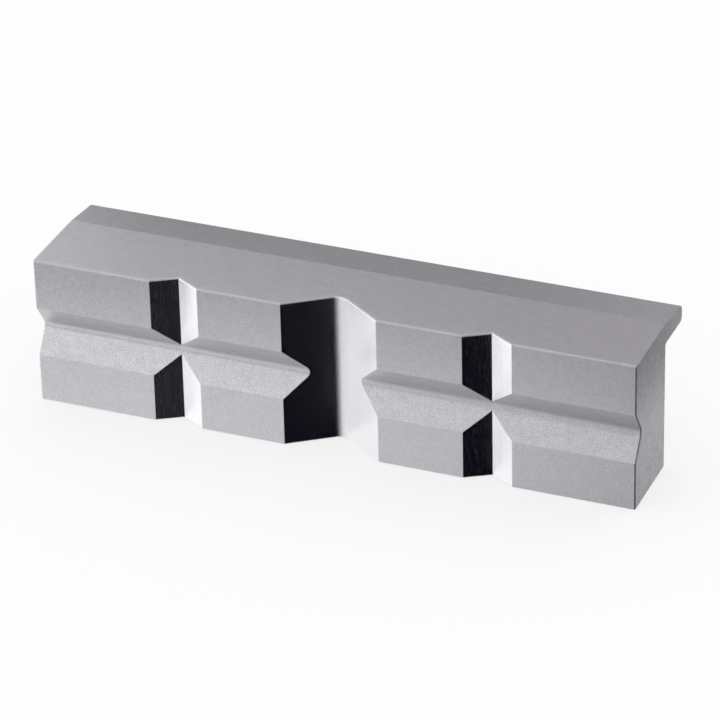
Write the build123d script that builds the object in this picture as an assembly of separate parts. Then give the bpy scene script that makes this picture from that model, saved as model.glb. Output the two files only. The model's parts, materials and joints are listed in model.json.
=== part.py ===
from build123d import *
import math
import os

# Jaw body, X along the jaw, front towards -Y, standing on Z = 0
jaw_length = 120.0
body_height = 30.4
body_depth = 16.7
seat_corner_radius = 0.4

# Hook lip that hangs over the top of the vise's own jaw
lip_reach = 9.6
lip_thickness = 4.3
lip_fall = 1.0
lip_corner_radius = 1.0
crest_setback = 0.3
crest_radius = 0.8

# Long prism groove across the whole front
groove_height = 15.0
groove_width = 10.2
groove_angle = 112.0
groove_radius = 2.0

# Two small upright prisms near the ends, with a sharp bottom
small_prism_width = 9.66
small_prism_angle = 120.0
small_prism_end_distance = 28.8

# One large upright prism in the middle, with a rounded bottom
large_prism_width = 19.0
large_prism_angle = 110.0
large_prism_radius = 2.5

# Edge rounding
top_edge_radius = 0.5
bottom_edge_radius = 0.4
end_edge_radius = 0.3

# Round magnets glued into the back face
magnet_diameter = 12.0
magnet_thickness = 5.0
magnet_edge_chamfer = 0.3
magnet_end_distance = 18.0
magnet_glue_gap = 0.1
magnet_recess = 0.2
pocket_mouth_chamfer = 0.3
chamfer_angle = 45.0

# Places worked out from the sizes above; the origin is under the middle of the whole jaw
end_x = jaw_length / 2
front_y = -(body_depth + lip_reach) / 2
back_y = front_y + body_depth
lip_tip_y = back_y + lip_reach
seat_z = body_height - lip_thickness
magnet_z = seat_z / 2
small_prism_x = end_x - small_prism_end_distance
magnet_x = end_x - magnet_end_distance

# How far a cutting tool runs past the metal
tool_overrun = 3.0


def half_tangent(angle):
    """Half width gained for each millimetre of depth in a prism of that full angle."""
    return math.tan(math.radians(angle / 2))


def prism_depth(width, angle):
    """Depth of a prism before its bottom is rounded."""
    return width / 2 / half_tangent(angle)


def corner(face, u, v):
    """The corner of a flat face that is nearest to a point in its own plane."""
    return face.vertices().sort_by_distance(Vector(u, v, 0))[0]


def body_section():
    """The bar's section, with the long groove in front and the hook lip behind."""
    groove_bottom_y = front_y + prism_depth(groove_width, groove_angle)
    crest_y = back_y + crest_setback
    lip_tip_z = body_height - lip_fall
    outline = Polyline(
        (front_y, 0),
        (front_y, groove_height - groove_width / 2),
        (groove_bottom_y, groove_height),
        (front_y, groove_height + groove_width / 2),
        (front_y, body_height),
        (crest_y, body_height),
        (lip_tip_y, lip_tip_z),
        (lip_tip_y, seat_z),
        (back_y, seat_z),
        (back_y, 0),
        close=True,
    )
    section = make_face(outline)
    section = fillet(corner(section, groove_bottom_y, groove_height), groove_radius)
    section = fillet(corner(section, crest_y, body_height), crest_radius)
    tip_corners = [corner(section, lip_tip_y, lip_tip_z), corner(section, lip_tip_y, seat_z)]
    section = fillet(tip_corners, lip_corner_radius)
    return fillet(corner(section, back_y, seat_z), seat_corner_radius)


def upright_prism(x, width, angle, bottom_radius=0.0):
    """The metal that an upright prism takes out of the front at that place along the jaw."""
    bottom_y = front_y + prism_depth(width, angle)
    mouth_y = front_y - tool_overrun
    mouth_half = (bottom_y - mouth_y) * half_tangent(angle)
    outline = Polyline((x - mouth_half, mouth_y), (x, bottom_y), (x + mouth_half, mouth_y), close=True)
    section = make_face(outline)
    if bottom_radius > 0:
        section = fillet(corner(section, x, bottom_y), bottom_radius)
    start = Plane.XY.offset(-tool_overrun)
    return extrude(start * section, amount=body_height + 2 * tool_overrun)


def magnet_places():
    """Node name and place along the jaw of each magnet."""
    return {"magnet_left": -magnet_x, "magnet_middle": 0.0, "magnet_right": magnet_x}


def back_disc(x, diameter, depth, floor_y):
    """A round disc square to the back face, from floor_y towards the back."""
    floor = Plane(origin=(x, floor_y, magnet_z), x_dir=(1, 0, 0), z_dir=(0, 1, 0))
    return extrude(floor * Circle(diameter / 2), amount=depth)


def pocket_floor_y():
    """Where the flat bottom of each magnet pocket lies."""
    return back_y - magnet_recess - magnet_thickness


def magnet_pocket(x):
    """The metal that one blind pocket takes out of the back face."""
    pocket_diameter = magnet_diameter + 2 * magnet_glue_gap
    depth = magnet_thickness + magnet_recess
    pocket = back_disc(x, pocket_diameter, depth + tool_overrun, pocket_floor_y())
    mouth = Plane(origin=(x, back_y, magnet_z), x_dir=(1, 0, 0), z_dir=(0, 1, 0))
    wide = pocket_diameter / 2 + pocket_mouth_chamfer
    sink = extrude(mouth * Circle(wide), amount=-pocket_mouth_chamfer, taper=chamfer_angle)
    return pocket + sink


def magnet(x):
    """One disc magnet, standing on its pocket's floor."""
    disc = back_disc(x, magnet_diameter, magnet_thickness, pocket_floor_y())
    return chamfer(disc.edges().filter_by(GeomType.CIRCLE), magnet_edge_chamfer)


def rim_edges(face, inner_x):
    """The edges of a flat face that run along the jaw and round its prisms, without the jaw's ends."""
    return face.edges().filter_by_position(Axis.X, -inner_x, inner_x)


def round_edges(body):
    """Rounds the top and bottom rims, round the prisms too, and then the outline of both ends."""
    inner_x = end_x - end_edge_radius
    top_face = body.faces().sort_by(Axis.Z)[-1]
    top_rim = rim_edges(top_face, inner_x).filter_by_position(Axis.Y, front_y - tool_overrun, back_y)
    body = fillet(top_rim, top_edge_radius)
    bottom_face = body.faces().sort_by(Axis.Z)[0]
    body = fillet(rim_edges(bottom_face, inner_x), bottom_edge_radius)
    along = body.edges().group_by(Axis.X)
    return fillet(along[0] + along[-1], end_edge_radius)


def jaw_body():
    """The whole metal body: bar with groove and lip, upright prisms, rounded edges and magnet pockets."""
    body = extrude(Plane.YZ * body_section(), amount=end_x, both=True)
    for x in (-small_prism_x, small_prism_x):
        body -= upright_prism(x, small_prism_width, small_prism_angle)
    body -= upright_prism(0.0, large_prism_width, large_prism_angle, large_prism_radius)
    body = round_edges(body)
    for x in magnet_places().values():
        body -= magnet_pocket(x)
    return body


def all_parts():
    """Every sub-part by its node name."""
    parts = {"jaw_body": jaw_body()}
    for name, x in magnet_places().items():
        parts[name] = magnet(x)
    return parts


os.makedirs("parts", exist_ok=True)
for node, shape in all_parts().items():
    export_step(shape, os.path.join("parts", node + ".step"))
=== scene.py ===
"""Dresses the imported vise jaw: blasted and milled body, plated magnets with glue, studio and camera."""

import json
import logging
import math
from collections.abc import Mapping, Sequence
from dataclasses import dataclass, field
from enum import Enum
from functools import cached_property, partial, reduce

import bpy
from mathutils import Euler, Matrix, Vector


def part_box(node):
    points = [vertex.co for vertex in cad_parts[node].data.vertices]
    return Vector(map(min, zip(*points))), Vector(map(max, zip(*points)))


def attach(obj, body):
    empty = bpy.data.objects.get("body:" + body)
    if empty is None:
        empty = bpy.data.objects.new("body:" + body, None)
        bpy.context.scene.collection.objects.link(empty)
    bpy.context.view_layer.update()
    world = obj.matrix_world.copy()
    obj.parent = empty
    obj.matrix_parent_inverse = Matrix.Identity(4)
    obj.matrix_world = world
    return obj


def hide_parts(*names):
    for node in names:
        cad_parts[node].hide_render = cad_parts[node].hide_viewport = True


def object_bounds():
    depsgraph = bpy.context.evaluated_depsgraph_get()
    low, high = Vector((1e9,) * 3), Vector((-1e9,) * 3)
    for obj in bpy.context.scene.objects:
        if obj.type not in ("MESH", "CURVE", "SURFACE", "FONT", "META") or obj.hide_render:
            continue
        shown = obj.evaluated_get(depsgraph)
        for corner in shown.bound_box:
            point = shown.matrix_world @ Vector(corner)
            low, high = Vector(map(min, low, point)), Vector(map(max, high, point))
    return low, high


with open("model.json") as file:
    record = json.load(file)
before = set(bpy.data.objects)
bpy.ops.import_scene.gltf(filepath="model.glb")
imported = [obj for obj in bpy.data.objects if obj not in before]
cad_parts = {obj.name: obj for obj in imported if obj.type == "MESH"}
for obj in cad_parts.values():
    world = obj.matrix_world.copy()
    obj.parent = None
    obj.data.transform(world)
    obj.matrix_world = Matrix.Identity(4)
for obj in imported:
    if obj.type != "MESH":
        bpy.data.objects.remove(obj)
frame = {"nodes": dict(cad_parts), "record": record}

MM = 0.001
CAD_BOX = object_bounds()
BODY = "root"
WHITE = (1.0, 1.0, 1.0)
UP_TO_BACK = Euler((-math.pi / 2, 0.0, 0.0))
log = logging.getLogger("vise_jaw")

Colour = tuple[float, float, float]
Span = tuple[float, float]
Material = bpy.types.Material
Mesh = bpy.types.Mesh
Piece = bpy.types.Object
Socket = bpy.types.NodeSocket
Tree = bpy.types.NodeTree
Feeds = Mapping[str | int, object]
Sockets = Mapping[str, Socket]


class Kind(Enum):
    """The kinds of socket that the groups and trees offer."""

    GEOMETRY = "NodeSocketGeometry"
    NUMBER = "NodeSocketFloat"
    COUNT = "NodeSocketInt"
    VECTOR = "NodeSocketVector"
    MATERIAL = "NodeSocketMaterial"


class Slot(Enum):
    """The name of one of the record's material slots."""

    METAL = "blasted_aluminium"


def rgba(colour: Colour) -> tuple[float, ...]:
    """The colour with full alpha, as Blender's colour sockets take it."""
    return (*colour, 1.0)


def titled(values: Mapping[str, object]) -> dict[str, object]:
    """The values by the names that their inputs have, such as Line Scale for line_scale."""
    return {name.replace("_", " ").title(): value for name, value in values.items()}


@dataclass
class Wiring:
    """Short calls that add nodes to one tree and join their sockets."""

    tree: Tree
    take: Sockets | None = None

    def feed(self, target: Socket, value: object) -> None:
        """Links a socket, or each of a list of them, to the target, or sets the target's own value.

        Args:
            target: The input that is filled.
            value: An output socket, a list of them, or a plain value.
        """
        for source in value if isinstance(value, list) else [value]:
            if isinstance(source, Socket):
                self.tree.links.new(source, target)
            else:
                target.default_value = source

    def add(self, kind: str, feeds: Feeds | None = None, **options: object) -> Sockets:
        """Adds one node.

        Args:
            kind: Blender's name for the type of node.
            feeds: Values or output sockets by the input's name or place.
            options: Settings of the node itself.

        Returns:
            The node's outputs, by name or place.
        """
        node = self.tree.nodes.new(kind)
        for option, value in options.items():
            setattr(node, option, value)
        for name, value in (feeds or {}).items():
            self.feed(node.inputs[name], value)
        return node.outputs

    def geo(self, kind: str, feeds: Feeds | None = None, **options: object) -> Socket:
        """Adds a geometry node by the last part of its name, and gives its first output."""
        return self.add("GeometryNode" + kind, feeds, **options)[0]

    def maths(self, operation: str, *values: object, clamp: bool = False) -> Socket:
        """Adds a Math node.

        Args:
            operation: Blender's name for the operation.
            values: One to three numbers or sockets.
            clamp: Whether the result stays between 0 and 1.

        Returns:
            The node's output.
        """
        feeds = dict(enumerate(values))
        return self.add("ShaderNodeMath", feeds, operation=operation, use_clamp=clamp)[0]

    def product(self, *values: object) -> Socket:
        """The product of any number of sockets or numbers."""
        return reduce(partial(self.maths, "MULTIPLY"), values)

    def gain(self, value: Socket, amount: float) -> Socket:
        """One, plus a number times an amount."""
        return self.maths("MULTIPLY_ADD", value, amount, 1.0)

    def above(self, value: object, limit: object) -> Socket:
        """Whether a number is above a limit, as 1 or 0."""
        return self.maths("GREATER_THAN", value, limit)

    def pick(self, test: Socket, when_true: object, when_false: object) -> Socket:
        """One of two numbers by a test that is 1 or 0."""
        change = self.maths("SUBTRACT", when_true, when_false)
        return self.maths("MULTIPLY_ADD", test, change, when_false)

    def mixed(self, one: Socket, share: float, other: Socket) -> Socket:
        """One number by its share, and another by the rest."""
        return self.maths("MULTIPLY_ADD", one, share, self.product(other, 1.0 - share))

    def remap(self, value: Socket, source: Span, target: Span = (0.0, 1.0)) -> Socket:
        """Spreads a number from one range to another, clamped at its ends.

        Args:
            value: The number.
            source: The range that it has.
            target: The range that it gets.

        Returns:
            The spread number.
        """
        feeds = {"Value": value, "From Min": source[0], "From Max": source[1]}
        feeds |= {"To Min": target[0], "To Max": target[1]}
        return self.add("ShaderNodeMapRange", feeds)["Result"]

    def axes(self, vector: Socket) -> tuple[Socket, Socket, Socket]:
        """The three numbers of a vector."""
        return tuple(self.add("ShaderNodeSeparateXYZ", {0: vector}))

    def vector(self, x: object = 0.0, y: object = 0.0, z: object = 0.0) -> Socket:
        """A vector from three numbers."""
        return self.add("ShaderNodeCombineXYZ", {0: x, 1: y, 2: z})[0]

    def noise(self, place: Socket, scale: object, **values: float) -> Socket:
        """A noise at a place, with its other values by input name in small letters."""
        return self.add("ShaderNodeTexNoise", {"Vector": place, "Scale": scale} | titled(values))["Fac"]

    def mark(self, name: str) -> Socket:
        """What a material reads from a mark on the mesh."""
        return self.add("ShaderNodeAttribute", attribute_name=name)["Fac"]

    def stored(self, name: str, data_type: str = "FLOAT") -> Socket:
        """What a geometry tree reads from a mark on the geometry."""
        return self.geo("InputNamedAttribute", {"Name": name}, data_type=data_type)

    def store(self, geometry: Socket, name: str, value: object, domain: str = "FACE") -> Socket:
        """Marks a geometry's faces, or its edges, with a number."""
        feeds = {"Geometry": geometry, "Name": name, "Value": value}
        return self.geo("StoreNamedAttribute", feeds, data_type="FLOAT", domain=domain)

    def sweep(self, start: Socket, end: Socket, section: Socket) -> Socket:
        """Sweeps a closed section along a straight path and closes both ends.

        Args:
            start: The path's start.
            end: The path's end.
            section: The section's curve.

        Returns:
            The swept geometry.
        """
        path = self.geo("CurvePrimitiveLine", {"Start": start, "End": end})
        feeds = {"Curve": path, "Profile Curve": section, "Fill Caps": True}
        return self.geo("CurveToMesh", feeds)

    def group(self, group: Tree, feeds: Feeds) -> Sockets:
        """Adds a node that runs a group, and gives its outputs."""
        is_geometry = isinstance(group, bpy.types.GeometryNodeTree)
        return self.add("GeometryNodeGroup" if is_geometry else "ShaderNodeGroup", feeds, node_tree=group)

    def finish(self, results: Sockets) -> Tree:
        """Joins the results to the group's outputs.

        Args:
            results: Sockets by the output's name.

        Returns:
            The finished tree.
        """
        exit_node = self.tree.nodes.new("NodeGroupOutput")
        for name, value in results.items():
            self.feed(exit_node.inputs[name], value)
        return self.tree


def new_group(name: str, takes: Mapping[str, Kind], gives: Mapping[str, Kind]) -> Wiring:
    """Starts a node group with named inputs and outputs.

    Args:
        name: The group's name.
        takes: Kinds of input by name.
        gives: Kinds of output by name.

    Returns:
        The wiring of the new group, which makes geometry where it gives some.
    """
    makes_geometry = Kind.GEOMETRY in gives.values()
    tree = bpy.data.node_groups.new(name, "GeometryNodeTree" if makes_geometry else "ShaderNodeTree")
    for direction, sockets in (("INPUT", takes), ("OUTPUT", gives)):
        for label, socket in sockets.items():
            tree.interface.new_socket(name=label, in_out=direction, socket_type=socket.value)
    return Wiring(tree, tree.nodes.new("NodeGroupInput").outputs)


@dataclass(frozen=True)
class SharedEffects:
    """Surface patterns that the finishes place with their own values, each built once as a group."""

    PIT_SHARE = 0.6
    SKIN_SHARE = 0.85
    FACET_SCALE = 0.8
    # the share of facet cells that become painted glints
    PAINTED_GLINT_FACETS = (0.72, 1.0)
    BAND_SCALE = 0.22
    LINE_SHARE = 0.6
    WORN_TURN = (0.01, 0.12)
    BREAK_RANGE = (0.35, 0.6)
    LEAST_WEAR = 0.25
    SCRATCH_TURNS = (0.4, 1.5, 2.6)
    SCRATCH_THINNESS = 0.03
    SCRATCH_SHARPNESS = 14.0

    grain: Tree
    feed_marks: Tree
    edge_wear: Tree
    scratches: Tree

    @classmethod
    def build(cls) -> "SharedEffects":
        """Builds every group once."""
        return cls(cls._grain(), cls._feed_marks(), cls._edge_wear(), cls._scratches())

    @staticmethod
    def _start(name: str, takes: Sequence[str], gives: Sequence[str] = ("Mask",)) -> tuple[object, ...]:
        """Starts a pattern that follows a vector, and takes and gives numbers.

        Args:
            name: The group's name.
            takes: The names of the numbers that it takes.
            gives: The names of the numbers that it gives.

        Returns:
            The group's wiring, its vector, and the numbers that it takes.
        """
        inputs = {"Vector": Kind.VECTOR} | dict.fromkeys(takes, Kind.NUMBER)
        w = new_group(name, inputs, dict.fromkeys(gives, Kind.NUMBER))
        return w, *(w.take[label] for label in inputs)

    @classmethod
    def _grain(cls) -> Tree:
        """The pitted skin that bead blasting leaves.

        Returns:
            A group with the skin's height, its patchy tone, and a mask of painted glints on the few
            brightest facets, which lightens the colour.
        """
        gives = ("Height", "Tone", "Sparkle")
        w, place, scale, patch_scale = cls._start("blast_grain", ("Grain Scale", "Patch Scale"), gives)
        skin = w.noise(place, scale, detail=3.0, roughness=0.6)
        pitting = {"Vector": place, "Scale": scale, "Smoothness": 0.6}
        pits = w.add("ShaderNodeTexVoronoi", pitting, feature="SMOOTH_F1")["Distance"]
        patches = w.noise(place, patch_scale, detail=2.0, roughness=0.55)
        # painted glints: random cells whose brightest share later lightens the colour
        facets = {"Vector": place, "Scale": w.product(scale, cls.FACET_SCALE)}
        facet = w.axes(w.add("ShaderNodeTexVoronoi", facets)["Color"])[0]
        height = w.maths("MULTIPLY_ADD", pits, cls.PIT_SHARE, skin)
        tone = w.mixed(skin, cls.SKIN_SHARE, patches)
        return w.finish({"Height": height, "Tone": tone, "Sparkle": w.remap(facet, cls.PAINTED_GLINT_FACETS)})

    @classmethod
    def _feed_marks(cls) -> Tree:
        """Fine lines that a cutter leaves along its path, here straight up and down.

        Returns:
            A group with the lines' height and their tone.
        """
        w, place, scale, stretch = cls._start("feed_marks", ("Line Scale", "Stretch"), ("Height", "Tone"))
        x, y, z = w.axes(place)
        drawn_out = w.vector(x, y, w.maths("DIVIDE", z, stretch))
        lines = w.noise(drawn_out, scale, detail=3.0, roughness=0.65)
        bands = w.noise(drawn_out, w.product(scale, cls.BAND_SCALE))
        return w.finish({"Height": lines, "Tone": w.mixed(lines, cls.LINE_SHARE, bands)})

    @classmethod
    def _edge_wear(cls) -> Tree:
        """Where handling rubs an edge bright.

        Returns:
            A group whose mask is 1 on the worn edges.
        """
        w, place, radius, scale = cls._start("edge_wear", ("Radius", "Break Up Scale"))
        rounded = w.add("ShaderNodeBevel", {"Radius": radius}, samples=4)["Normal"]
        flat = w.add("ShaderNodeNewGeometry")["Normal"]
        alike = w.add("ShaderNodeVectorMath", {0: rounded, 1: flat}, operation="DOT_PRODUCT")["Value"]
        worn = w.remap(w.maths("SUBTRACT", 1.0, alike), cls.WORN_TURN)
        breaks = w.remap(w.noise(place, scale, detail=3.0), cls.BREAK_RANGE, (cls.LEAST_WEAR, 1.0))
        return w.finish({"Mask": w.maths("MULTIPLY", worn, breaks, clamp=True)})

    @classmethod
    def _scratches(cls) -> Tree:
        """Fine straight handling scratches in three directions.

        Returns:
            A group whose mask is 1 in a scratch.
        """
        w, place, scale, rarity = cls._start("scratches", ("Scale", "Rarity"))
        drawn_out = (cls.SCRATCH_THINNESS, 1.0, 1.0)
        layers = []
        for turn in cls.SCRATCH_TURNS:
            turned = {"Vector": place, "Rotation": (0.0, turn, 0.0), "Scale": drawn_out}
            lines = w.noise(w.add("ShaderNodeMapping", turned)[0], scale)
            cut = w.maths("SUBTRACT", lines, rarity)
            layers.append(w.maths("MULTIPLY", cut, cls.SCRATCH_SHARPNESS, clamp=True))
        crossed = w.maths("MAXIMUM", layers[0], layers[1])
        return w.finish({"Mask": w.maths("ADD", crossed, layers[2], clamp=True)})


@dataclass
class Surface(Wiring):
    """The wiring of one material, with the calls that every finish makes on its shader."""

    material: Material | None = None

    @classmethod
    def start(cls, name: str) -> "Surface":
        """Starts a material with a Principled shader.

        Args:
            name: The material's name.

        Returns:
            The material's wiring.
        """
        material = bpy.data.materials.new(name)
        material.use_nodes = True
        return cls(material.node_tree, material=material)

    @cached_property
    def place(self) -> Socket:
        """The point in the object's own metres, which every pattern here follows."""
        return self.add("ShaderNodeTexCoord")["Object"]

    def pattern(self, group: Tree, **values: float) -> Sockets:
        """Places a shared effect, with its values by input name in small letters."""
        return self.group(group, {"Vector": self.place} | titled(values))

    def give(self, name: str, value: object) -> None:
        """Feeds or sets one of the shader's inputs."""
        self.feed(self.tree.nodes["Principled BSDF"].inputs[name], value)

    def tint(self, colour: Colour, gain: Socket) -> None:
        """Feeds the base colour with a colour times a gain that changes over the surface."""
        scaled = self.add("ShaderNodeVectorMath", {0: colour, "Scale": gain}, operation="SCALE")
        self.give("Base Color", scaled[0])

    def relief(self, height: Socket, depth: object, sunk: bool = False) -> None:
        """Feeds the normal with a bump that is as high, or as far sunk, as the depth says."""
        bump = self.add("ShaderNodeBump", {"Height": height, "Distance": depth}, invert=sunk)
        self.give("Normal", bump[0])


@dataclass(frozen=True)
class BlastedMetal:
    """Bead-blasted aluminium, coarser in the groove and at the ends, with painted glints and painted shade
    that darkens it slowly towards the top.

    The pits scatter a share of the light evenly, so the metal share is less than the whole.
    """

    name: str = "blasted_skin"
    colour: Colour = (0.655, 0.648, 0.676)
    metal_share: float = 0.88
    roughness: Span = (0.38, 0.46)
    grain_scale: float = 4600.0
    patch_scale: float = 500.0
    grain_depth: float = 0.010 * MM
    coarse_depth: float = 0.017 * MM
    tone_range: Span = (0.35, 0.65)
    tone_swing: float = 0.16
    # painted glints: how much the brightest facets lighten the colour
    painted_glint_gain: float = 0.10
    # painted shade: between these heights the colour darkens by the next share, up to the top
    painted_top_shade_heights: Span = (15.0 * MM, 30.4 * MM)
    painted_top_shade: float = 0.20
    worn_radius: float = 0.35 * MM
    worn_scale: float = 900.0
    worn_gain: float = 0.12
    worn_polish: float = 0.12

    def make(self, effects: SharedEffects) -> Material:
        """Builds the material.

        Args:
            effects: The shared surface patterns.

        Returns:
            The finished material.
        """
        w = Surface.start(self.name)
        grain = w.pattern(effects.grain, grain_scale=self.grain_scale, patch_scale=self.patch_scale)
        coarse = w.mark(JawBody.COARSE_MARK)
        worn = w.pattern(effects.edge_wear, radius=self.worn_radius, break_up_scale=self.worn_scale)["Mask"]
        swing = w.remap(grain["Tone"], self.tone_range, (-self.tone_swing, self.tone_swing))
        tone = w.maths("MULTIPLY_ADD", swing, w.maths("ADD", coarse, 1.0), 1.0)
        # painted glints: the brightest facets lighten the colour on the coarse faces
        painted_glint_lift = w.gain(w.product(grain["Sparkle"], coarse), self.painted_glint_gain)
        # painted shade: the colour darkens from mid height up to the top
        painted_top_darkening = w.remap(w.axes(w.place)[2], self.painted_top_shade_heights, (1.0, 1.0 - self.painted_top_shade))
        w.tint(self.colour, w.product(tone, painted_glint_lift, w.gain(worn, self.worn_gain), painted_top_darkening))
        rough = w.remap(grain["Tone"], self.tone_range, self.roughness)
        w.give("Roughness", w.maths("MULTIPLY_ADD", worn, -self.worn_polish, rough))
        w.relief(grain["Height"], w.pick(coarse, self.coarse_depth, self.grain_depth))
        w.give("Metallic", self.metal_share)
        return w.material


@dataclass(frozen=True)
class MilledMetal:
    """Bare milled aluminium with fine upright feed marks, as deep as each prism's faces say."""

    name: str = "milled_flanks"
    colour: Colour = (0.925, 0.920, 0.932)
    roughness: float = 0.27
    bottom_roughness: float = 0.2
    roughness_swing: float = 0.025
    line_scale: float = 2600.0
    stretch: float = 60.0
    mark_depth: float = 0.0005 * MM
    tone_range: Span = (0.3, 0.7)
    tone_swing: float = 0.04
    worn_radius: float = 0.2 * MM
    worn_scale: float = 1500.0
    worn_dulling: float = 0.08

    def make(self, effects: SharedEffects) -> Material:
        """Builds the material.

        Args:
            effects: The shared surface patterns.

        Returns:
            The finished material.
        """
        w = Surface.start(self.name)
        marks = w.pattern(effects.feed_marks, line_scale=self.line_scale, stretch=self.stretch)
        worn = w.pattern(effects.edge_wear, radius=self.worn_radius, break_up_scale=self.worn_scale)["Mask"]
        depth = w.mark(JawBody.CUT_MARK)
        swing = w.product(w.remap(marks["Tone"], self.tone_range, (-1.0, 1.0)), depth)
        w.tint(self.colour, w.gain(swing, self.tone_swing))
        flank = w.maths("MULTIPLY_ADD", swing, self.roughness_swing, self.roughness)
        rough = w.maths("MULTIPLY_ADD", w.mark(JawBody.ROUND_MARK), self.bottom_roughness, flank)
        w.give("Roughness", w.maths("MULTIPLY_ADD", worn, self.worn_dulling, rough))
        w.relief(marks["Height"], w.product(depth, self.mark_depth))
        w.give("Metallic", 1.0)
        return w.material


@dataclass(frozen=True)
class PlatedMetal:
    """Bright nickel plating with handling scratches."""

    name: str = "nickel_plating"
    colour: Colour = (0.72, 0.71, 0.69)
    roughness: Span = (0.16, 0.3)
    smudge_scale: float = 260.0
    smudge_range: Span = (0.3, 0.7)
    scratch_scale: float = 4200.0
    scratch_rarity: float = 0.66
    scratch_dulling: float = 0.2
    scratch_darkening: float = 0.12
    scratch_depth: float = 0.003 * MM
    worn_radius: float = 0.25 * MM
    worn_scale: float = 1200.0
    worn_gain: float = 0.1

    def make(self, effects: SharedEffects) -> Material:
        """Builds the material.

        Args:
            effects: The shared surface patterns.

        Returns:
            The finished material.
        """
        w = Surface.start(self.name)
        scratch = w.pattern(effects.scratches, scale=self.scratch_scale, rarity=self.scratch_rarity)["Mask"]
        worn = w.pattern(effects.edge_wear, radius=self.worn_radius, break_up_scale=self.worn_scale)["Mask"]
        smudge = w.noise(w.place, self.smudge_scale, detail=4.0)
        rough = w.remap(smudge, self.smudge_range, self.roughness)
        w.give("Roughness", w.maths("MULTIPLY_ADD", scratch, self.scratch_dulling, rough))
        rubbed = w.gain(worn, self.worn_gain)
        w.tint(self.colour, w.maths("MULTIPLY_ADD", scratch, -self.scratch_darkening, rubbed))
        w.relief(scratch, self.scratch_depth, sunk=True)
        w.give("Metallic", 1.0)
        return w.material


@dataclass(frozen=True)
class CuredGlue:
    """Pale cured resin with a slightly uneven skin."""

    name: str = "cured_glue"
    colour: Colour = (0.50, 0.44, 0.33)
    roughness: float = 0.28
    grain_scale: float = 700.0
    patch_scale: float = 300.0
    skin_depth: float = 0.02 * MM
    tone_range: Span = (0.3, 0.7)
    tones: Span = (0.85, 1.15)

    def make(self, effects: SharedEffects) -> Material:
        """Builds the material.

        Args:
            effects: The shared surface patterns.

        Returns:
            The finished material.
        """
        w = Surface.start(self.name)
        grain = w.pattern(effects.grain, grain_scale=self.grain_scale, patch_scale=self.patch_scale)
        w.tint(self.colour, w.remap(grain["Tone"], self.tone_range, self.tones))
        w.relief(grain["Height"], self.skin_depth)
        w.give("Roughness", self.roughness)
        return w.material


def mesh_object(name: str, mesh: Mesh) -> Piece:
    """Puts a mesh in the scene.

    Args:
        name: The object's name.
        mesh: Its mesh.

    Returns:
        The object, at the origin.
    """
    piece = bpy.data.objects.new(name, mesh)
    bpy.context.scene.collection.objects.link(piece)
    return piece


def closed_loop(name: str, points: Sequence[Span]) -> Mesh:
    """Makes one closed loop of edges.

    Args:
        name: The mesh's name.
        points: The loop's flat points in order.

    Returns:
        The loop's mesh.
    """
    count = len(points)
    mesh = bpy.data.meshes.new(name)
    mesh.from_pydata([(x, y, 0.0) for x, y in points], [(i, (i + 1) % count) for i in range(count)], [])
    return mesh


def run_tree(piece: Piece, tree: Tree, values: Mapping[str, object]) -> None:
    """Adds a geometry tree to a piece and sets its inputs by their identifiers.

    Args:
        piece: The object that gets the modifier.
        tree: The geometry tree.
        values: What the inputs are set to, by name.
    """
    modifier = piece.modifiers.new(tree.name, "NODES")
    modifier.node_group = tree
    for item in tree.interface.items_tree:
        if item.item_type == "SOCKET" and item.in_out == "INPUT" and item.name in values:
            modifier[item.identifier] = values[item.name]


def settle(piece: Piece) -> None:
    """Turns what the modifiers make into the piece's plain mesh and removes them.

    Args:
        piece: The object with live modifiers.
    """
    bpy.context.view_layer.update()
    evaluated = piece.evaluated_get(bpy.context.evaluated_depsgraph_get())
    made = bpy.data.meshes.new_from_object(evaluated)
    made.name = piece.name
    piece.modifiers.clear()
    rough_mesh, piece.data = piece.data, made
    bpy.data.meshes.remove(rough_mesh)
    for index in reversed(range(len(made.materials))):
        if made.materials[index] is None:
            made.materials.pop(index=index)


def shade(mesh: Mesh, crease_degrees: float) -> None:
    """Shades a mesh smooth round its small facets, while big flat faces stay flat and creases stay sharp.

    Args:
        mesh: The final mesh.
        crease_degrees: The turn from which two faces don't shade into one another.
    """
    limit = math.cos(math.radians(crease_degrees))
    around = [[] for _ in mesh.vertices]
    for face in mesh.polygons:
        for index in face.vertices:
            around[index].append(face)
    normals = []
    for face in mesh.polygons:
        for index in face.vertices:
            alike = [near for near in around[index] if near.normal.dot(face.normal) > limit]
            normals.append(sum((near.area * near.normal for near in alike), Vector()).normalized())
    mesh.shade_smooth()
    mesh.normals_split_custom_set(normals)


def mount_places() -> dict[str, Vector]:
    """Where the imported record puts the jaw's faces and grooves, by mount."""
    return {mount["name"]: Vector(mount["pos_m"]) for mount in frame["record"]["mounts"]}


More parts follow.
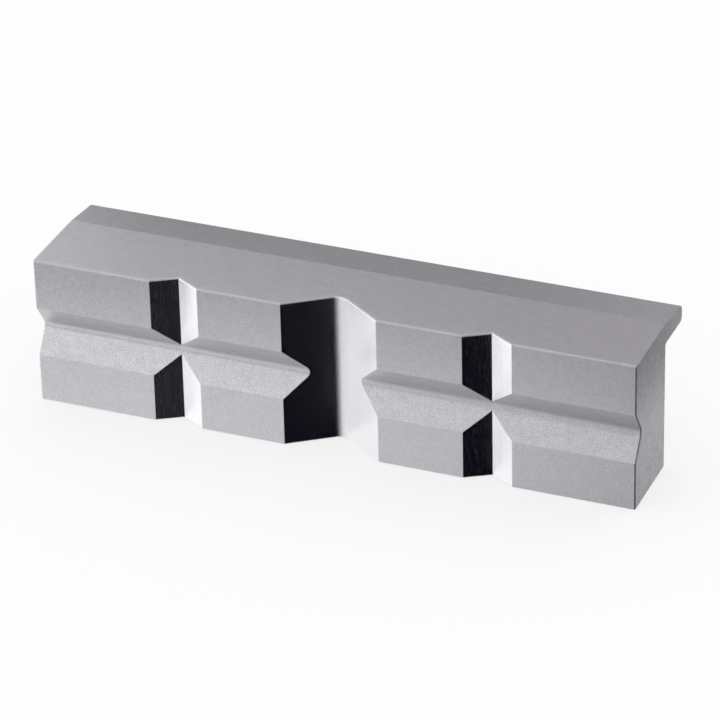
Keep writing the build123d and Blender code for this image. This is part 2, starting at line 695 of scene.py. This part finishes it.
@dataclass(frozen=True)
class MagnetRow:
    """Where the three round magnets stand in the back, as their boxes in the frame give it."""

    NODES = ("magnet_left", "magnet_middle", "magnet_right")
    INPUTS = {"Magnet Count": Kind.COUNT, "First Magnet": Kind.VECTOR, "Magnet Step": Kind.VECTOR}

    first: Vector
    step: Vector
    radius: float
    floor: float

    @classmethod
    def read(cls) -> "MagnetRow":
        """Reads the magnets' boxes.

        Returns:
            The row.
        """
        boxes = [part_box(name) for name in cls.NODES]
        first, second = ((low + high) / 2 for low, high in boxes[:2])
        low, high = boxes[0]
        return cls(first, second - first, (high.x - low.x) / 2, low.y)

    def values(self, depth: float) -> dict[str, object]:
        """The row's inputs for a tree whose items start at that depth in the jaw."""
        start = Vector((self.first.x, depth, self.first.z))
        return dict(zip(self.INPUTS, (len(self.NODES), start, self.step)))

    def copies(self, w: Wiring, item: Socket) -> Socket:
        """Sets one copy of an item at each magnet, turned from up to the back.

        Args:
            w: The wiring of the geometry tree.
            item: What is copied.

        Returns:
            The copies as one geometry.
        """
        count, start, step = (w.take[name] for name in self.INPUTS)
        line = w.geo("MeshLine", {"Count": count, "Start Location": start, "Offset": step})
        spread = {"Points": line, "Instance": item, "Rotation": UP_TO_BACK}
        copies = w.geo("InstanceOnPoints", spread)
        return w.geo("RealizeInstances", {"Geometry": copies})


@dataclass(frozen=True)
class Corner:
    """One corner of the bar's section, rounded by a radius where it has one."""

    depth: float
    height: float
    radius: float = 0.0
    steps: int = 0


@dataclass(frozen=True)
class Prism:
    """One upright prism across the front, placed by its mount, and how deep its feed marks are."""

    mount: str
    width: float
    angle: float
    bottom_radius: float = 0.0
    feed_marks: float = 1.0


@dataclass
class JawBody:
    """The jaw's one-piece metal body, cut from a bar of one section."""

    COARSE_MARK = "coarse_blast"
    CUT_MARK = "milled"
    ROUND_MARK = "rounded_bottom"
    CORNER_RADIUS = "corner_radius"
    CORNER_STEPS = "corner_steps"
    PRISM_SIZES = ("Place", "Width", "Angle", "Bottom Radius", "Feed Marks")
    TOOL_SIZES = ("Front", "Height", "Overrun")
    OWN_SIZES = (
        "top_rim", "bottom_rim", "end_rim", "crisp_edge", "pocket_rim", "mouth_chamfer", "overrun",
        "groove_coarseness", "end_coarseness",
    )
    BOTTOM_STEPS = 16
    POCKET_STEPS = 96
    RIM_STEPS = 4
    MOST_CORNERS = 4
    EDGE_DEGREES = 15.0
    CREASE_DEGREES = 40.0
    WELD = 0.001 * MM
    NEAR = 0.01 * MM
    SUNK = 0.1 * MM
    ROUNDED_TURN = (0.02, 0.2)
    UPWARD_TURN = (-0.2, 0.5)
    LENGTHWISE_LIMIT = 0.1
    FRONT_LIMIT = -0.3
    END_LIMIT = 0.99

    mounts: Mapping[str, Vector]
    row: MagnetRow
    name: str = "blasted_jaw"
    groove_width: float = 10.2 * MM
    groove_angle: float = 112.0
    groove_radius: float = 2.0 * MM
    lip_fall: float = 1.0 * MM
    lip_corner_radius: float = 1.0 * MM
    crest_setback: float = 0.3 * MM
    crest_radius: float = 0.8 * MM
    seat_corner_radius: float = 0.4 * MM
    top_rim: float = 0.5 * MM
    bottom_rim: float = 0.4 * MM
    end_rim: float = 0.3 * MM
    crisp_edge: float = 0.05 * MM
    pocket_rim: float = 0.05 * MM
    glue_gap: float = 0.1 * MM
    mouth_chamfer: float = 0.3 * MM
    overrun: float = 3.0 * MM
    groove_coarseness: float = 0.6
    end_coarseness: float = 1.8
    prisms: Sequence[Prism] = (
        Prism("small_prism_left", 9.66 * MM, 120.0, feed_marks=0.6),
        Prism("large_prism", 19.0 * MM, 110.0, 2.5 * MM, feed_marks=0.15),
        Prism("small_prism_right", 9.66 * MM, 120.0, feed_marks=0.6),
    )
    low: Vector = field(init=False)
    high: Vector = field(init=False)

    def __post_init__(self) -> None:
        """Takes the body's own box from the frame."""
        self.low, self.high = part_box("jaw_body")

    @property
    def back(self) -> float:
        """How far back the gripping side's plane lies."""
        return self.mounts["back_face"].y

    def section(self) -> list[Corner]:
        """The bar's section, from the front's foot to the back's, up to the lip, and down the front.

        Returns:
            The corners in order.
        """
        seat = self.mounts["lip_underside"].z
        middle = self.mounts["long_groove"].z
        half = self.groove_width / 2
        bottom = self.low.y + half / math.tan(math.radians(self.groove_angle / 2))
        top = self.high.z
        return [
            Corner(self.low.y, self.low.z),
            Corner(self.back, self.low.z),
            Corner(self.back, seat, self.seat_corner_radius, steps=10),
            Corner(self.high.y, seat, self.lip_corner_radius, steps=12),
            Corner(self.high.y, top - self.lip_fall, self.lip_corner_radius, steps=12),
            Corner(self.back + self.crest_setback, top, self.crest_radius, steps=2),
            Corner(self.low.y, top),
            Corner(self.low.y, middle + half),
            Corner(bottom, middle, self.groove_radius, steps=14),
            Corner(self.low.y, middle - half),
        ]

    def outline(self) -> Mesh:
        """Joins the section's corners, which carry their radii and steps.

        Returns:
            A closed loop of edges.
        """
        corners = self.section()
        mesh = closed_loop(self.name + "_outline", [(corner.depth, corner.height) for corner in corners])
        radii = mesh.attributes.new(self.CORNER_RADIUS, "FLOAT", "POINT")
        radii.data.foreach_set("value", [corner.radius for corner in corners])
        steps = mesh.attributes.new(self.CORNER_STEPS, "INT", "POINT")
        steps.data.foreach_set("value", [corner.steps for corner in corners])
        return mesh

    @classmethod
    def _prism_cutter(cls) -> Tree:
        """A group that makes the wedge that one upright prism takes out, with its faces marked.

        Returns:
            The geometry group.
        """
        takes = dict.fromkeys((*cls.PRISM_SIZES, *cls.TOOL_SIZES), Kind.NUMBER)
        w = new_group("upright_prism", takes, {"Mesh": Kind.GEOMETRY})
        bottom_radius, overrun = w.take["Bottom Radius"], w.take["Overrun"]
        spread = w.maths("TANGENT", w.maths("RADIANS", w.product(w.take["Angle"], 0.5)))
        depth = w.maths("DIVIDE", w.product(w.take["Width"], 0.5), spread)
        reach = w.maths("ADD", depth, overrun)
        side = w.maths("SUBTRACT", 1.0, w.geo("InputIndex"))
        away = w.maths("ABSOLUTE", side)
        x = w.maths("ADD", w.take["Place"], w.product(side, w.product(reach, spread)))
        y = w.maths("SUBTRACT", w.maths("ADD", w.take["Front"], depth), w.product(away, reach))
        points = w.geo("MeshLine", {"Count": 3})
        placed = w.geo("SetPosition", {"Geometry": points, "Position": w.vector(x, y)})
        line = w.geo("MeshToCurve", {"Mesh": placed})
        loop = w.geo("SetSplineCyclic", {"Geometry": line, "Cyclic": True})
        is_bottom = w.product(w.above(0.5, away), w.above(bottom_radius, 0.0))
        rounding = {"Curve": loop, "Radius": bottom_radius, "Count": w.product(is_bottom, cls.BOTTOM_STEPS)}
        rounded = w.geo("FilletCurve", rounding, mode="POLY")
        foot = w.vector(z=w.product(overrun, -1.0))
        wedge = w.sweep(foot, w.vector(z=w.maths("ADD", w.take["Height"], overrun)), rounded)
        sideways = w.maths("ABSOLUTE", w.axes(w.geo("InputNormal"))[0])
        flank = w.maths("COSINE", w.maths("ARCTANGENT", spread))
        bottom = w.remap(w.maths("SUBTRACT", flank, sideways), cls.ROUNDED_TURN)
        marked = w.store(wedge, cls.ROUND_MARK, bottom)
        return w.finish({"Mesh": w.store(marked, cls.CUT_MARK, w.take["Feed Marks"])})

    @classmethod
    def _pocket_cutter(cls) -> Tree:
        """A group that makes the metal that one round pocket with a chamfered mouth takes out.

        Returns:
            The geometry group, which bores from its floor at the origin up along Z.
        """
        takes = dict.fromkeys(("Radius", "Depth", "Chamfer", "Overrun"), Kind.NUMBER)
        w = new_group("magnet_pocket", takes, {"Mesh": Kind.GEOMETRY})
        wall, deep, chamfer, overrun = (w.take[name] for name in takes)
        unit = {"Vertices": cls.POCKET_STEPS, "Side Segments": 2, "Radius": 1.0, "Depth": 2.0}
        blank = w.geo("MeshCylinder", unit)
        x, y, ring = w.axes(w.geo("InputPosition"))
        widen = w.product(w.above(ring, 0.5), w.maths("ADD", chamfer, overrun))
        radius = w.maths("ADD", wall, widen)
        straight = w.maths("SUBTRACT", deep, chamfer)
        up = w.maths("MULTIPLY_ADD", w.above(ring, -0.5), straight, widen)
        place = w.vector(w.product(x, radius), w.product(y, radius), up)
        return w.finish({"Mesh": w.geo("SetPosition", {"Geometry": blank, "Position": place})})

    def _sizes(self) -> dict[str, float]:
        """Every size that the jaw's tree takes.

        Returns:
            The sizes by input name.
        """
        middle = self.mounts["long_groove"].z
        half = self.groove_width / 2
        sizes = titled({name: getattr(self, name) for name in self.OWN_SIZES})
        sizes |= {"Length": self.high.x - self.low.x, "Height": self.high.z, "Front": self.low.y}
        sizes |= {"Back": self.back, "Groove Top": middle + half, "Groove Bottom": middle - half}
        sizes |= {"Pocket Radius": self.row.radius + self.glue_gap}
        sizes |= {"Pocket Depth": self.back - self.row.floor}
        for prism in self.prisms:
            cut = (self.mounts[prism.mount].x, prism.width, prism.angle, prism.bottom_radius)
            named = zip(self.PRISM_SIZES, (*cut, prism.feed_marks))
            sizes |= {f"{prism.mount} {label}": size for label, size in named}
        return sizes

    def _tree(self, sizes: Mapping[str, float]) -> Tree:
        """The tree that sweeps the section, cuts the prisms and pockets, and marks edges and faces.

        Args:
            sizes: The sizes by input name.

        Returns:
            The geometry tree.
        """
        takes = {"Geometry": Kind.GEOMETRY, "Blasted": Kind.MATERIAL, "Milled": Kind.MATERIAL}
        takes |= self.row.INPUTS | dict.fromkeys(sizes, Kind.NUMBER)
        w = new_group("prism_jaw", takes, {"Geometry": Kind.GEOMETRY})
        solids = {"Mesh 1": self._bar(w), "Mesh 2": [*self._prism_cuts(w), self._pocket_cuts(w)]}
        cut = w.geo("MeshBoolean", solids, operation="DIFFERENCE", solver="EXACT")
        clean = w.geo("MergeByDistance", {"Geometry": cut, "Distance": self.WELD})
        marked = self._mark_faces(w, self._mark_edges(w, clean))
        whole = w.geo("RealizeInstances", {"Geometry": marked})
        blasted = {"Geometry": whole, "Material": w.take["Blasted"]}
        milled = {"Geometry": w.geo("SetMaterial", blasted), "Material": w.take["Milled"]}
        milled["Selection"] = w.stored(self.CUT_MARK)
        return w.finish({"Geometry": w.geo("SetMaterial", milled)})

    def _bar(self, w: Wiring) -> Socket:
        """Rounds the section's corners and sweeps it along the jaw's whole length.

        Args:
            w: The wiring of the jaw's tree.

        Returns:
            The bar's geometry.
        """
        rounding = {"Curve": w.geo("MeshToCurve", {"Mesh": w.take["Geometry"]})}
        rounding |= {"Radius": w.stored(self.CORNER_RADIUS), "Count": w.stored(self.CORNER_STEPS, "INT")}
        rounded = w.geo("FilletCurve", rounding, mode="POLY")
        used_up = {"Geometry": rounded, "Name": "corner_*"}
        section = w.geo("RemoveAttribute", used_up, pattern_mode="WILDCARD")
        half = w.product(w.take["Length"], 0.5)
        upright = w.sweep(w.vector(z=w.product(half, -1.0)), w.vector(z=half), section)
        laid = {"Geometry": upright, "Rotation": Euler((math.pi / 2, 0.0, math.pi / 2))}
        return w.geo("Transform", laid)

    def _prism_cuts(self, w: Wiring) -> list[Socket]:
        """The wedges that all the upright prisms take out.

        Args:
            w: The wiring of the jaw's tree.

        Returns:
            One wedge for each prism.
        """
        cutter = self._prism_cutter()
        shared = {name: w.take[name] for name in self.TOOL_SIZES}
        cuts = []
        for prism in self.prisms:
            own = {label: w.take[f"{prism.mount} {label}"] for label in self.PRISM_SIZES}
            cuts.append(w.group(cutter, own | shared)["Mesh"])
        return cuts

    def _pocket_cuts(self, w: Wiring) -> Socket:
        """The plugs that all the magnet pockets take out of the back.

        Args:
            w: The wiring of the jaw's tree.

        Returns:
            The plugs as one geometry.
        """
        feeds = {"Radius": w.take["Pocket Radius"], "Depth": w.take["Pocket Depth"]}
        feeds |= {"Chamfer": w.take["Mouth Chamfer"], "Overrun": w.take["Overrun"]}
        return self.row.copies(w, w.group(self._pocket_cutter(), feeds)["Mesh"])

    def _mark_edges(self, w: Wiring, geometry: Socket) -> Socket:
        """Stores how far each outer edge is rounded, as a share of the top rim.

        Args:
            w: The wiring of the jaw's tree.
            geometry: The cut body.

        Returns:
            The body with its edges marked.
        """
        x, y, z = w.axes(w.geo("InputPosition"))
        turn = w.add("GeometryNodeInputMeshEdgeAngle")["Signed Angle"]
        end = w.maths("MULTIPLY_ADD", w.take["Length"], 0.5, -self.NEAR)
        top = w.maths("SUBTRACT", w.take["Height"], self.NEAR)
        mouth = w.maths("SUBTRACT", w.take["Back"], w.maths("ADD", w.take["Mouth Chamfer"], self.NEAR))
        size = w.pick(w.above(y, mouth), w.take["Pocket Rim"], w.take["Crisp Edge"])
        size = w.pick(w.above(self.NEAR, z), w.take["Bottom Rim"], size)
        size = w.pick(w.above(z, top), w.take["Top Rim"], size)
        size = w.pick(w.above(w.maths("ABSOLUTE", x), end), w.take["End Rim"], size)
        is_outer = w.above(turn, math.radians(self.EDGE_DEGREES))
        share = w.product(is_outer, w.maths("DIVIDE", size, w.take["Top Rim"]))
        return w.store(geometry, "bevel_weight_edge", share, "EDGE")

    def _mark_faces(self, w: Wiring, geometry: Socket) -> Socket:
        """Stores how much coarser the blasting is on the long groove's upward faces and on both ends, which
        also scales the painted glints there.

        Args:
            w: The wiring of the jaw's tree.
            geometry: The body with its edges marked.

        Returns:
            The body with its coarse faces marked.
        """
        _, deep, height = w.axes(w.geo("InputPosition"))
        right, inward, upward = w.axes(w.geo("InputNormal"))
        sideways = w.maths("ABSOLUTE", right)
        level = w.product(w.above(w.take["Groove Top"], height), w.above(height, w.take["Groove Bottom"]))
        sunk = w.above(deep, w.maths("ADD", w.take["Front"], self.SUNK))
        lengthwise = w.above(self.LENGTHWISE_LIMIT, sideways)
        groove = w.product(level, sunk, lengthwise, w.above(self.FRONT_LIMIT, inward))
        groove = w.product(groove, w.remap(upward, self.UPWARD_TURN), w.take["Groove Coarseness"])
        ends = w.product(w.above(sideways, self.END_LIMIT), w.take["End Coarseness"])
        return w.store(geometry, self.COARSE_MARK, w.maths("MAXIMUM", groove, ends))

    def build(self, blasted: Material, milled: Material) -> None:
        """Makes the body, rounds its marked edges and puts it in place of the plain solid.

        Args:
            blasted: The outer faces' material.
            milled: The prism flanks' material.
        """
        piece = mesh_object(self.name, self.outline())
        sizes = self._sizes()
        values = sizes | self.row.values(self.row.floor) | {"Blasted": blasted, "Milled": milled}
        run_tree(piece, self._tree(sizes), values)
        bevel = piece.modifiers.new("rounded_edges", "BEVEL")
        bevel.limit_method = "WEIGHT"
        bevel.width = self.top_rim
        bevel.segments = self.RIM_STEPS
        bevel.use_clamp_overlap = False
        split = piece.modifiers.new("split_many_sided_faces", "TRIANGULATE")
        split.min_vertices = self.MOST_CORNERS + 1
        split.ngon_method = "BEAUTY"
        settle(piece)
        shade(piece.data, self.CREASE_DEGREES)
        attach(piece, BODY)
        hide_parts("jaw_body")
        log.info("%s: %d faces", piece.name, len(piece.data.polygons))


@dataclass
class Magnets:
    """The three round magnets in the back, with the ring of glue that holds each one."""

    body: JawBody
    glue_name: str = "glue_rings"
    ring_steps: int = 96
    glue_depth: float = 0.35 * MM
    glue_dip: float = 0.06 * MM
    shallow_dip: float = 0.8
    deep_dip: float = 1.2
    overlap: float = 0.02 * MM

    def plate(self, plating: Material) -> None:
        """Gives every magnet its plating.

        Args:
            plating: The magnets' material.
        """
        for name in self.body.row.NODES:
            frame["nodes"][name].material_slots[0].material = plating
            log.info("%s: plated", name)

    def _glue_tree(self) -> Tree:
        """The tree that sweeps the glue's section round each magnet.

        Returns:
            The geometry tree.
        """
        takes = {"Geometry": Kind.GEOMETRY, "Glue": Kind.MATERIAL} | self.body.row.INPUTS
        takes |= {"Radius": Kind.NUMBER, "Ring Steps": Kind.COUNT}
        w = new_group("glue_ring", takes, {"Geometry": Kind.GEOMETRY})
        section = w.geo("MeshToCurve", {"Mesh": w.take["Geometry"]})
        path = {"Resolution": w.take["Ring Steps"], "Radius": w.take["Radius"]}
        circle = w.geo("CurvePrimitiveCircle", path)
        ring = w.geo("CurveToMesh", {"Curve": circle, "Profile Curve": section})
        rings = self.body.row.copies(w, ring)
        smooth = w.geo("SetShadeSmooth", {"Geometry": rings})
        dressed = {"Geometry": smooth, "Material": w.take["Glue"]}
        return w.finish({"Geometry": w.geo("SetMaterial", dressed)})

    def _glue_section(self) -> Mesh:
        """The glue's section between magnet and pocket, across its width and up towards the back.

        Returns:
            A closed loop of edges.
        """
        half = self.body.glue_gap / 2 + self.overlap
        wide = half + self.body.mouth_chamfer / 2
        foot, dip = -self.glue_depth, -self.glue_dip
        points = [(-half, foot), (half, foot), (wide, 0.0), (half, self.shallow_dip * dip)]
        points += [(0.0, self.deep_dip * dip), (-half, dip), (-wide, 0.0)]
        return closed_loop(self.glue_name + "_section", points)

    def glue(self, resin: Material) -> None:
        """Makes the rings of glue as one piece.

        Args:
            resin: The glue's material.
        """
        row = self.body.row
        values = row.values(self.body.back - self.body.mouth_chamfer)
        values |= {"Radius": row.radius + self.body.glue_gap / 2, "Ring Steps": self.ring_steps}
        piece = mesh_object(self.glue_name, self._glue_section())
        run_tree(piece, self._glue_tree(), values | {"Glue": resin})
        settle(piece)
        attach(piece, BODY)
        log.info("%s: %d faces", piece.name, len(piece.data.polygons))


@dataclass(frozen=True)
class Card:
    """A patch of a sphere round the jaw that only reflections see, as wide and high as its angles say."""

    COVER = "cover"

    name: str
    azimuths: Span
    elevations: Span
    distance: float
    strength: float
    colour: Colour = (0.985, 0.98, 1.0)
    steps: int = 12

    def point(self, across: float, up: float, centre: Vector) -> Vector:
        """The card's point at two shares of its width and height.

        Args:
            across: Share of the azimuth range, which turns from the front towards the right.
            up: Share of the elevation range.
            centre: The sphere's centre.

        Returns:
            The point in metres.
        """
        azimuth = math.radians(self.azimuths[0] + across * (self.azimuths[1] - self.azimuths[0]))
        elevation = math.radians(self.elevations[0] + up * (self.elevations[1] - self.elevations[0]))
        level = Vector((math.sin(azimuth), -math.cos(azimuth), 0.0)) * math.cos(elevation)
        return centre + self.distance * (level + Vector((0.0, 0.0, math.sin(elevation))))

    def _material(self) -> Material:
        """An even glow that fades out over the card's outermost step.

        Returns:
            The card's material.
        """
        w = Surface.start(self.name)
        w.tree.nodes.clear()
        light = w.add("ShaderNodeEmission", {"Color": rgba(self.colour), "Strength": self.strength})[0]
        clear = w.add("ShaderNodeBsdfTransparent")[0]
        blend = w.add("ShaderNodeMixShader", {0: w.mark(self.COVER), 1: clear, 2: light})[0]
        w.add("ShaderNodeOutputMaterial", {"Surface": blend})
        return w.material

    def build(self, centre: Vector) -> None:
        """Makes the card, hidden from all but reflections.

        Args:
            centre: The sphere's centre.
        """
        row = self.steps + 1
        shares = [i / self.steps for i in range(row)]
        grid = [(across, up) for up in shares for across in shares]
        points = [self.point(across, up, centre) for across, up in grid]
        corners = [row * j + i for j in range(self.steps) for i in range(self.steps)]
        mesh = bpy.data.meshes.new(self.name)
        mesh.from_pydata(points, [], [(i, i + 1, i + row + 1, i + row) for i in corners])
        inside = [float(0.0 < up < 1.0 and 0.0 < across < 1.0) for across, up in grid]
        mesh.attributes.new(self.COVER, "FLOAT", "POINT").data.foreach_set("value", inside)
        mesh.materials.append(self._material())
        card = mesh_object(self.name, mesh)
        card.visible_camera = card.visible_diffuse = False
        card.visible_shadow = card.visible_transmission = False


@dataclass
class Studio:
    """Pale floor, even white light, and the cards that the metal reflects."""

    floor_size: float = 6.0
    floor_drop: float = 0.02 * MM
    floor_colour: Colour = (0.97, 0.97, 0.97)
    shadow_share: float = 0.3
    cards: Sequence[Card] = (
        Card("front_strip", (-53.0, 2.0), (-19.0, -5.5), 0.165, 0.09),
        Card("end_strip", (83.0, 123.0), (-11.5, 6.0), 0.090, 0.17),
        Card("back_flag", (181.0, 224.0), (-20.5, 32.0), 0.195, 0.15),
        Card("black_flag", (-23.0, 130.0), (-82.0, 31.0), 0.360, 0.004, (0.4, 0.25, 1.0)),
        Card("grey_back", (56.0, 208.0), (-23.5, 56.0), 0.515, 0.47, (1.0, 0.97, 1.0)),
        Card("low_card", (-104.0, 22.0), (-36.5, -33.5), 0.230, 0.40),
        Card("main_softbox", (-120.0, 4.0), (-46.0, 20.0), 0.330, 1.21),
        Card("ceiling", (91.0, 260.0), (43.0, 88.0), 0.535, 0.88, (1.0, 0.97, 1.0)),
        Card("upper_flag", (8.0, 98.0), (27.5, 80.5), 0.380, 0.28),
        Card("grey_low", (82.0, 209.0), (-86.0, -26.0), 0.505, 0.36),
    )

    def _floor(self) -> None:
        """A plain white floor that keeps the jaw's soft shadow and that reflections pass through."""
        half = self.floor_size / 2
        corners = [(-half, -half, 0.0), (half, -half, 0.0), (half, half, 0.0), (-half, half, 0.0)]
        mesh = bpy.data.meshes.new("floor")
        mesh.from_pydata(corners, [], [(0, 1, 2, 3)])
        w = Surface.start("floor_paper")
        w.tree.nodes.clear()
        paper = w.add("ShaderNodeBsdfDiffuse", {"Color": rgba(self.floor_colour)})[0]
        glow = w.add("ShaderNodeEmission", {"Color": rgba(WHITE), "Strength": 1.0})[0]
        share = w.product(w.add("ShaderNodeLightPath")["Is Camera Ray"], 1.0 - self.shadow_share)
        blend = w.add("ShaderNodeMixShader", {0: share, 1: paper, 2: glow})[0]
        w.add("ShaderNodeOutputMaterial", {"Surface": blend})
        mesh.materials.append(w.material)
        floor = mesh_object("floor", mesh)
        floor.location.z = -self.floor_drop
        floor.visible_glossy = False

    @staticmethod
    def _world() -> None:
        """White all round, for the camera, reflections and diffuse light alike."""
        world = bpy.data.worlds.new("white_room")
        bpy.context.scene.world = world
        world.use_nodes = True
        background = world.node_tree.nodes["Background"]
        background.inputs["Color"].default_value = rgba(WHITE)
        background.inputs["Strength"].default_value = 1.0

    def build(self) -> None:
        """Makes world, floor and cards."""
        self._world()
        self._floor()
        centre = (CAD_BOX[0] + CAD_BOX[1]) / 2
        for card in self.cards:
            card.build(centre)
            log.info("%s: strength %.2f", card.name, card.strength)


@dataclass(frozen=True)
class Camera:
    """The camera, a long way off with a long lens, above and to the right of the jaw."""

    place: tuple[float, float, float] = (0.27960, -0.67450, 0.43119)
    turn: tuple[float, float, float] = (60.198, 1.209, 21.764)
    lens: float = 223.38
    sensor: float = 36.0
    nearest: float = 0.01

    def build(self) -> None:
        """Makes the camera and gives it to the scene."""
        data = bpy.data.cameras.new("camera")
        data.lens = self.lens
        data.sensor_width = self.sensor
        data.clip_start = self.nearest
        camera = bpy.data.objects.new("camera", data)
        camera.location = self.place
        camera.rotation_euler = [math.radians(angle) for angle in self.turn]
        bpy.context.scene.collection.objects.link(camera)
        bpy.context.scene.camera = camera


def main() -> None:
    """Builds the camera, the studio and every piece in order."""
    logging.basicConfig(level=logging.INFO)
    bpy.context.scene.view_settings.view_transform = "Standard"
    Camera().build()
    Studio().build()
    effects = SharedEffects.build()
    body = JawBody(mount_places(), MagnetRow.read())
    body.build(BlastedMetal().make(effects), MilledMetal().make(effects))
    magnets = Magnets(body)
    magnets.plate(PlatedMetal().make(effects))
    magnets.glue(CuredGlue().make(effects))


if __name__ == "__main__":
    main()
